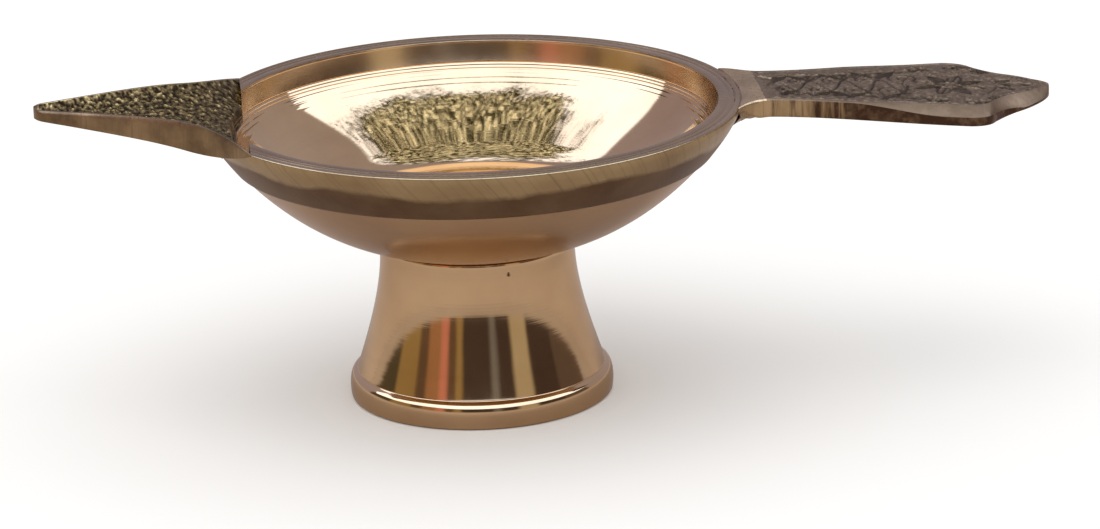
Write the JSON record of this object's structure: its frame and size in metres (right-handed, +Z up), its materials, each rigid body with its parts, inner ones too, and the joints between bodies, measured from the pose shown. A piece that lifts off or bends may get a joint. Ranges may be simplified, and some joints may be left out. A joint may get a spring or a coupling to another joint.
{
  "type": "diya oil lamp",
  "caption": "Turned brass oil lamp for prayer: open bowl with a pointed wick spout and a flat leaf-ended handle, screwed onto a flared hollow foot.",
  "frame": {"origin": "centre of the lamp's length and width, on the plane that its foot stands on; the turning axis of the bowl and foot is 11.6 mm from it towards the spout", "axes": "+X from the spout to the handle, +Z up along the turning axis of the bowl and foot"},
  "size_m": [0.1589, 0.084, 0.0501],
  "materials": {
    "turned_brass": "polished, fine turning lines",
    "cast_brass": "as cast and stippled in the channel, filed outside",
    "antique_brass": "engraved and darkened top, filed edges",
    "braze": "smooth, satin",
    "foot_brass": "polished, fine turning lines",
    "stud_brass": "machined"
  },
  "bodies": {
    "foot": {"foot": "foot_brass"},
    "stud": {"foot_stud": "stud_brass"},
    "bowl": {"bowl": "turned_brass", "wick_spout": "cast_brass", "handle": "antique_brass", "spout_braze_fillet": "braze", "handle_braze_fillet": "braze"}
  },
  "joints": [
    {"name": "bowl_lift", "type": "slide", "parent": "foot", "child": "stud", "axis": [0, 0, 1], "range_m": [0, 0.0075]},
    {"name": "bowl_turn", "type": "hinge", "parent": "stud", "child": "bowl", "pos_m": [-0.0116, 0, 0.0249], "axis": [0, 0, 1], "range_deg": [0, 1800]}
  ],
  "couplings": [
    {"joint": "bowl_lift", "follows": "bowl_turn", "m_per_rad": 0.0002387}
  ]
}
